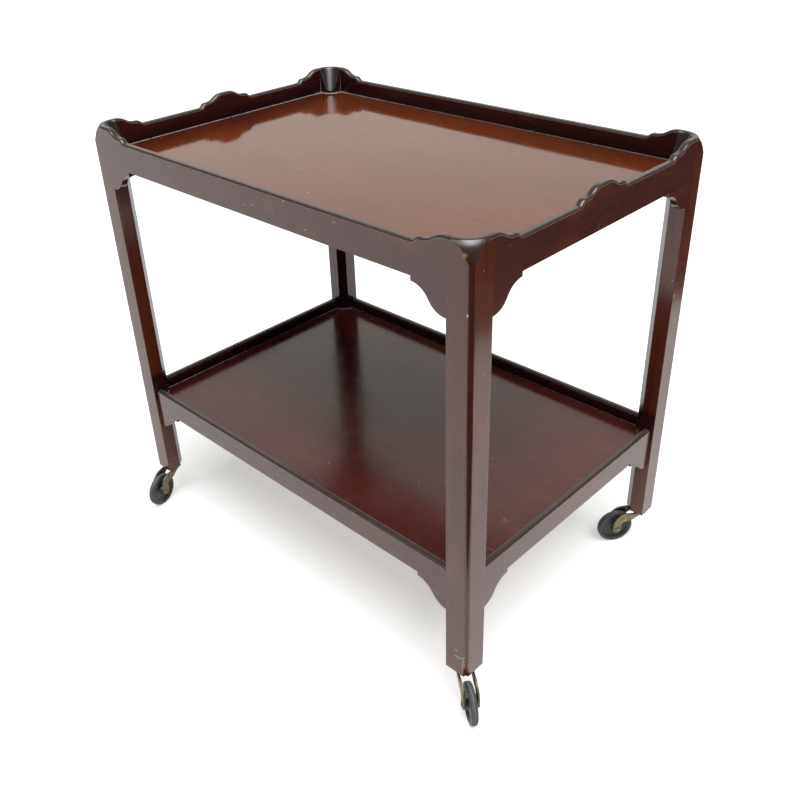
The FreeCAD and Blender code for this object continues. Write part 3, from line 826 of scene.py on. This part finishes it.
class TROLLEY_OT_polish_line(bpy.types.Operator):
    """Lay the line of old polish, painted pale as a highlight, in the angle round both trays"""
    bl_idname = "trolley.polish_line"
    bl_label = "Polish lines"

    def execute(self, context):
        sizes = context.scene.trolley_shapes
        material = polish_material()
        top_gap, upright_share = 0.005, 0.8
        low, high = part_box("leg_front_right")
        leg = high.x - low.x
        for tier in ("tray", "shelf"):
            half_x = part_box(tier + "_rail_right")[0].x
            half_y = -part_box(tier + "_rail_front")[1].y
            inset = high.x - half_x
            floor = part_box(tier + "_board")[1].z
            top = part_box(tier + "_rail_back")[1].z - top_gap
            beads = [
                polish_bead(tier + "_polish_line", half_x, half_y, leg, sizes.leg_flat, inset,
                            floor, sizes.line, sizes.flare),
                polish_uprights(tier + "_polish_uprights", half_x, half_y, leg, inset, floor,
                                top, sizes.line * upright_share, sizes.flare)]
            for bead in beads:
                bead.data.materials.append(material)
                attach(bead, "frame")
        return {"FINISHED"}


# ------------------------------------------------------------------ castors
def metal_material(name, clean, film, cover):
    """Aged metal: clean metal under a film that is rubbed off on the edges, and near-black
    painted shade where other metal, wood or rubber stands within 20 mm."""
    material, tree, shader = new_material(name)
    place = own_place(tree)
    edges = use(tree, "Eased edge", {"Vector": place, "Radius": 0.0006, "Wear": 0.6})
    coat = use(tree, "Film", {"Vector": place, "Scale": 170.0, "Cover": cover})
    left = times(tree, coat["Mask"], minus(tree, 1.0, times(tree, edges["Edge"], 0.75)))
    colour = blend(tree, left, clean, film)
    colour = blend(tree, between(tree, coat["Grain"], 0.62, 0.80), colour,
                   tuple(c * 0.8 for c in film))
    # Painted shade where other parts stand within 20 mm.
    open_to = put(tree, "ShaderNodeAmbientOcclusion", {"Distance": 0.02},
                  samples=8).outputs["AO"]
    colour = blend(tree, between(tree, open_to, 0.75, 0.40), colour, NEAR_PARTS_PAINTED_SHADE)
    height = plus(tree, times(tree, coat["Grain"], FILM_HEIGHT),
                  times(tree, coat["Mask"], FILM_HEIGHT))
    feed(tree, shader.inputs, {
        "Base Color": colour,
        "Roughness": between(tree, left, 0, 1, 0.28, 0.55),
        "Metallic": between(tree, left, 0, 1, 1.0, 0.72),
        "Normal": relief(tree, height, Normal=edges["Normal"])})
    return material


class TROLLEY_OT_metal(bpy.types.Operator):
    """Give the sockets, forks and rivets their aged metal"""
    bl_idname = "trolley.metal"
    bl_label = "Age the metal"

    def execute(self, context):
        look = context.scene.trolley_fittings
        make_film_group()
        brass = metal_material("brass_aged", look.brass, look.tarnish, 0.75)
        steel = metal_material("steel_dulled", look.steel, tuple(c * 0.45 for c in look.steel),
                               0.5)
        for corner in CORNERS:
            paint(brass, "castor_socket_" + corner, "castor_fork_" + corner)
            paint(steel, "castor_axle_" + corner)
        return {"FINISHED"}


def disc_material(look):
    """Hard moulded wheel centre under a thin dusty film."""
    material, tree, shader = new_material("wheel_disc")
    film = use(tree, "Film", {"Vector": own_place(tree), "Scale": 110.0, "Cover": 0.55})
    colour = blend(tree, film["Mask"], look.disc, (0.026, 0.030, 0.037))
    colour = blend(tree, between(tree, film["Grain"], 0.60, 0.80), colour, (0.06, 0.06, 0.06))
    feed(tree, shader.inputs, {
        "Base Color": colour,
        "Roughness": between(tree, film["Mask"], 0, 1, 0.32, 0.55),
        "Normal": relief(tree, times(tree, film["Grain"], FILM_HEIGHT))})
    return material


def make_disc(name, corner, ring):
    """Wheel centre turned about the axle.

    Half its side view is a closed line from the bore out over the hub, down into the dish,
    over the raised ring and up to the rim. The dish falls as an exponential, and the ring is
    a cosine bump two thirds of the way out. The other half mirrors it."""
    bore, hub_radius, hub_half, hub_round = 0.00256, 0.0065, 0.0082, 0.0012
    web_half, rim_half, rim_depth, rim_round = 0.0022, 0.0040, 0.0035, 0.0010
    ring_at, ring_reach, columns = 0.62, 0.10, 96
    low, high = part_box("castor_wheel_" + corner)
    seat = (high.z - low.z) / 2
    hub_arc = np.linspace(0, np.pi / 2, 6)
    rim_arc = np.linspace(0.1, 1, 5)
    dish = np.linspace(hub_radius + 0.0003, seat - rim_depth, 26)
    share = (dish - dish[0]) / (dish[-1] - dish[0])
    fall = (hub_half - hub_round - web_half) * np.exp(-share * 9)
    away = (share - ring_at) / ring_reach
    bump = ring * np.where(np.abs(away) < 1, 0.5 + 0.5 * np.cos(away * np.pi), 0)
    r = np.concatenate([
        [bore, hub_radius - hub_round], hub_radius - hub_round + hub_round * np.sin(hub_arc),
        dish, seat - rim_depth + rim_round * rim_arc, [seat]])
    y = np.concatenate([
        [hub_half, hub_half], hub_half - hub_round + hub_round * np.cos(hub_arc),
        web_half + fall + bump,
        web_half + (rim_half - web_half) * np.sin(rim_arc * np.pi / 2), [rim_half]])
    radius = np.concatenate([r, r[::-1]])
    return turned_ring(name, corner, np.concatenate([y, -y[::-1]]),
                       np.repeat(radius[:, None], columns, 1))


class TROLLEY_OT_wheels(bpy.types.Operator):
    """Turn the wheel centres with their dished discs and raised rings"""
    bl_idname = "trolley.wheels"
    bl_label = "Wheel centres"

    def execute(self, context):
        material = disc_material(context.scene.trolley_fittings)
        ring = context.scene.trolley_shapes.disc_ring
        for corner in CORNERS:
            made = make_disc("wheel_disc_" + corner, corner, ring)
            made.data.materials.append(material)
            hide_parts("castor_wheel_" + corner)
            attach(made, "roller_" + corner)
        return {"FINISHED"}


def make_tread(name, corner, groove, seed):
    """Worn tyre turned about the axle.

    Its side view is a closed line: seat, side, rounded shoulder, tread, shoulder, side. Two
    bell-shaped grooves run round the tread, and seeded bell-shaped nicks cross it; wear
    takes a slow wave off its radius."""
    side, depth, edge, side_gap = 0.0048, 0.0065, 0.0030, 0.0003
    groove_at, groove_width = 0.0013, 0.00034
    nicks, nick_width, slow_wave, columns = 46, 0.0012, 0.00006, 288
    low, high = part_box("castor_tyre_" + corner)
    outer = (high.z - low.z) / 2
    arc = np.linspace(0, np.pi / 2, 12)
    wall = np.linspace(outer - depth, outer - edge - side_gap, 5)
    y = np.concatenate([[side] * 5, side - edge + edge * np.cos(arc),
                        np.linspace(side - edge, edge - side, 26)[1:-1],
                        edge - side - edge * np.sin(arc), [-side] * 5])
    r = np.concatenate([wall, outer - edge + edge * np.sin(arc), np.full(24, outer),
                        outer - edge + edge * np.cos(arc), wall[::-1]])
    turn = np.linspace(0, 2 * np.pi, columns, endpoint=False)
    random = np.random.default_rng(seed)
    cuts = np.zeros((len(y), columns))
    for at, middle, length, depth_here in zip(
            random.uniform(0, 2 * np.pi, nicks), random.uniform(-0.0028, 0.0028, nicks),
            random.uniform(0.008, 0.02, nicks), random.uniform(0.00008, 0.0004, nicks)):
        away = np.angle(np.exp(1j * (turn - at)))
        cuts += (depth_here * np.exp(-(away / length) ** 2)[None]
                 * np.exp(-((y - middle) / nick_width) ** 2)[:, None])
    outward = np.clip((r - (outer - edge)) / edge, 0, 1)[:, None]
    lines = sum(np.exp(-((y - g) / groove_width) ** 2) for g in (-groove_at, groove_at))
    worn = slow_wave * (1 + np.sin(3 * turn + seed))[None] + cuts + groove * lines[:, None]
    return turned_ring(name, corner, y, r[:, None] - worn * outward)


def tyre_material(look):
    """Rubber, dark on its sides and worn grey where it rolls, apart from its two grooves. The
    UV map's v runs round the side view, with the middle of the tread at one half."""
    material, tree, shader = new_material("rubber_worn")
    place = put(tree, "ShaderNodeTexCoord").outputs
    middle, groove_at = 0.5, 0.345
    from_middle = maths(tree, "ABSOLUTE", minus(tree, xyz(tree, place["UV"])[1], middle))
    tread = minus(tree, middle, from_middle)
    rolled = between(tree, tread, 0.22, 0.31)
    grooved = between(tree, maths(tree, "ABSOLUTE", minus(tree, tread, groove_at)),
                      0.055, 0.028)
    film = use(tree, "Film", {"Vector": place["Object"], "Scale": 420.0, "Cover": 0.8})
    scuffed = vector_maths(tree, "MULTIPLY", place["UV"], (60.0, 26.0, 1.0))
    scuffs = between(tree, noise(tree, scuffed, 1, 3, 0.65), 0.38, 0.66)
    amount = times(tree, rolled, plus(tree, times(tree, scuffs, 0.5), 0.5),
                   minus(tree, 1.0, grooved))
    colour = blend(tree, amount, look.rubber, look.tread)
    colour = blend(tree, times(tree, film["Mask"], 0.18), colour, (0.24, 0.23, 0.21))
    height = plus(tree, times(tree, scuffs, 0.00005), times(tree, film["Grain"], 0.00004))
    feed(tree, shader.inputs, {
        "Base Color": colour,
        "Roughness": between(tree, amount, 0, 1, 0.5, 0.85),
        "Normal": relief(tree, height)})
    return material


class TROLLEY_OT_tyres(bpy.types.Operator):
    """Fit the worn, grooved rubber tyres"""
    bl_idname = "trolley.tyres"
    bl_label = "Tyres"

    def execute(self, context):
        material = tyre_material(context.scene.trolley_fittings)
        sizes = context.scene.trolley_shapes
        for seed, corner in enumerate(CORNERS):
            made = make_tread("tyre_tread_" + corner, corner, sizes.tread_groove, seed)
            made.data.materials.append(material)
            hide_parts("castor_tyre_" + corner)
            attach(made, "roller_" + corner)
        return {"FINISHED"}


# ------------------------------------------------------------------ studio
def studio_plane(name, corners):
    """Flat piece of the studio with the given corners."""
    mesh = bpy.data.meshes.new(name)
    mesh.from_pydata(corners, [], [list(range(len(corners)))])
    made = new_object(name, mesh)
    return made


def make_floor(look):
    """Pale round floor. Seen straight or mirrored it is lifted, so that it runs white
    outside the trolley's shadow."""
    radius, sides = 12, 96
    ring = np.linspace(0, 2 * np.pi, sides, endpoint=False)
    floor = studio_plane("floor", np.column_stack(
        [radius * np.cos(ring), radius * np.sin(ring), np.zeros(sides)]).tolist())
    material, tree, shader = new_material("floor_pale")
    tree.nodes.remove(shader)
    paper = blend(tree, noise(tree, own_place(tree), 3.0, 3),
                  tuple(c * 0.985 for c in look.floor), look.floor)
    path = put(tree, "ShaderNodeLightPath").outputs
    seen = largest(tree, path["Is Camera Ray"], path["Is Glossy Ray"],
                   path["Is Transmission Ray"])
    paper = scaled(tree, paper, between(tree, seen, 0.0, 1.0, look.floor_bounce, 1.0))
    matt = put(tree, "ShaderNodeBsdfDiffuse", {"Color": paper}).outputs[0]
    glow = put(tree, "ShaderNodeEmission", {
        "Color": (0.985, 0.995, 0.965), "Strength": times(tree, seen, look.floor_lift)})
    both = put(tree, "ShaderNodeAddShader", {0: matt, 1: glow.outputs[0]}).outputs[0]
    feed(tree, tree.nodes["Material Output"].inputs, {"Surface": both})
    floor.data.materials.append(material)


def make_flags():
    """Two dark cloths, beyond the right end and before the near corner, which only the
    polish sees. Each is upright, from one place on the floor to another, up to its top."""
    above_floor = 0.02
    material, tree, shader = new_material("flag_cloth")
    weave = noise(tree, own_place(tree), 400.0, 2)
    feed(tree, shader.inputs, {
        "Base Color": blend(tree, weave, (0.10, 0.09, 0.09), (0.16, 0.14, 0.14)),
        "Roughness": 0.9})
    for name, a, b, top in (("flag_right", (1.10, 0.256), (0.26, 1.90), 1.90),
                            ("flag_near", (0.10, -0.80), (0.95, 0.05), 0.70)):
        flag = studio_plane(name, [(*a, above_floor), (*b, above_floor), (*b, top), (*a, top)])
        flag.data.materials.append(material)
        flag.visible_camera = flag.visible_diffuse = flag.visible_shadow = False
        flag.visible_transmission = flag.visible_volume_scatter = False


def make_room(scene, look):
    """White surroundings. In the polish they are a white wall beyond the trolley, a high
    window on the near side with a brighter core, and a dimmer ceiling."""
    beyond, near_side, core_way = (-0.5, 0.866, 0), (0.66, -0.75, 0), (0.350, -0.370, 0.860)
    wall_tint, window_tint = (0.97, 0.98, 0.92), (0.88, 0.97, 1.0)
    world = scene.world or bpy.data.worlds.new("studio")
    scene.world = world
    world.use_nodes = True
    tree = world.node_tree
    tree.nodes.clear()
    path = put(tree, "ShaderNodeLightPath").outputs
    way = put(tree, "ShaderNodeTexCoord").outputs["Generated"]
    height = xyz(tree, way)[2]
    level = vector_maths(tree, "NORMALIZE", vector_maths(tree, "MULTIPLY", way, (1, 1, 0)))
    facing, near, aimed = (
        vector_maths(tree, "DOT_PRODUCT", a, b, output=1)
        for a, b in ((level, beyond), (level, near_side), (way, core_way)))
    wall = times(tree, between(tree, facing, 0.35, 0.60), between(tree, height, 0.78, 0.62))
    window = times(tree, between(tree, height, 0.64, 0.74), between(tree, near, -0.1, 0.3),
                   look.window, between(tree, aimed, 0.950, 0.985, 1.0, 1.7))
    room = largest(tree, wall, window, look.ceiling)
    seen = largest(tree, path["Is Camera Ray"], path["Is Transmission Ray"])
    mirrored = times(tree, path["Is Glossy Ray"], room)
    glow = blend(tree, between(tree, window, 0.0, 0.5), wall_tint, window_tint)
    back = put(tree, "ShaderNodeBackground", {
        "Color": blend(tree, path["Is Glossy Ray"], (1, 1, 1), glow),
        "Strength": largest(tree, seen, mirrored, look.fill)})
    end = put(tree, "ShaderNodeOutputWorld", {"Surface": back.outputs[0]})
    end.is_active_output = True


def make_lamp(scene, look):
    """Broad overhead light, leaning a little to the right and the front."""
    sun = bpy.data.lights.new("overhead_softbox", "SUN")
    sun.energy = look.key
    sun.angle = look.key_spread
    lamp = bpy.data.objects.new("overhead_softbox", sun)
    lamp.rotation_euler = (look.key_front, look.key_right, 0)
    scene.collection.objects.link(lamp)


def make_camera(scene):
    lens = bpy.data.cameras.new("camera")
    lens.lens = 40.4787
    lens.sensor_width = 36
    lens.shift_x = 0.018912
    lens.shift_y = -0.037025
    lens.clip_start = 0.05
    lens.clip_end = 60
    eye = bpy.data.objects.new("camera", lens)
    eye.location = (0.849995, -0.852351, 0.992080)
    eye.rotation_euler = tuple(math.radians(a) for a in (59.42373, 1.99146, 44.08624))
    scene.collection.objects.link(eye)
    scene.camera = eye


class TROLLEY_OT_stage(bpy.types.Operator):
    """Set out the pale floor, the soft light and the camera"""
    bl_idname = "trolley.stage"
    bl_label = "Studio"

    def execute(self, context):
        scene = context.scene
        look = scene.trolley_studio
        scene.view_settings.view_transform = "Standard"
        make_floor(look)
        make_flags()
        make_room(scene, look)
        make_lamp(scene, look)
        make_camera(scene)
        return {"FINISHED"}


# ------------------------------------------------------------------ add-on
SETTINGS = {
    "trolley_wood": TrolleyWood,
    "trolley_fittings": TrolleyFittings,
    "trolley_shapes": TrolleyShapes,
    "trolley_studio": TrolleyStudio,
}
OPERATORS = (TROLLEY_OT_wood, TROLLEY_OT_polish_line, TROLLEY_OT_metal, TROLLEY_OT_wheels,
             TROLLEY_OT_tyres, TROLLEY_OT_stage)


class TROLLEY_PT_panel(bpy.types.Panel):
    bl_label = "Tea trolley"
    bl_idname = "TROLLEY_PT_panel"
    bl_space_type = "VIEW_3D"
    bl_region_type = "UI"
    bl_category = "Trolley"

    def draw(self, context):
        for operator in OPERATORS:
            self.layout.operator(operator.bl_idname)
        for name, settings in SETTINGS.items():
            box = self.layout.box()
            for key in settings.__annotations__:
                box.prop(getattr(context.scene, name), key)


def register():
    for settings in SETTINGS.values():
        bpy.utils.register_class(settings)
    for name, settings in SETTINGS.items():
        setattr(bpy.types.Scene, name, bpy.props.PointerProperty(type=settings))
    for item in (*OPERATORS, TROLLEY_PT_panel):
        bpy.utils.register_class(item)


def unregister():
    for item in (TROLLEY_PT_panel, *reversed(OPERATORS)):
        bpy.utils.unregister_class(item)
    for name in SETTINGS:
        delattr(bpy.types.Scene, name)
    for settings in reversed(SETTINGS.values()):
        bpy.utils.unregister_class(settings)


def main():
    register()
    for step in (bpy.ops.trolley.wood, bpy.ops.trolley.polish_line, bpy.ops.trolley.metal,
                 bpy.ops.trolley.wheels, bpy.ops.trolley.tyres, bpy.ops.trolley.stage):
        step()


if __name__ == "__main__":
    main()
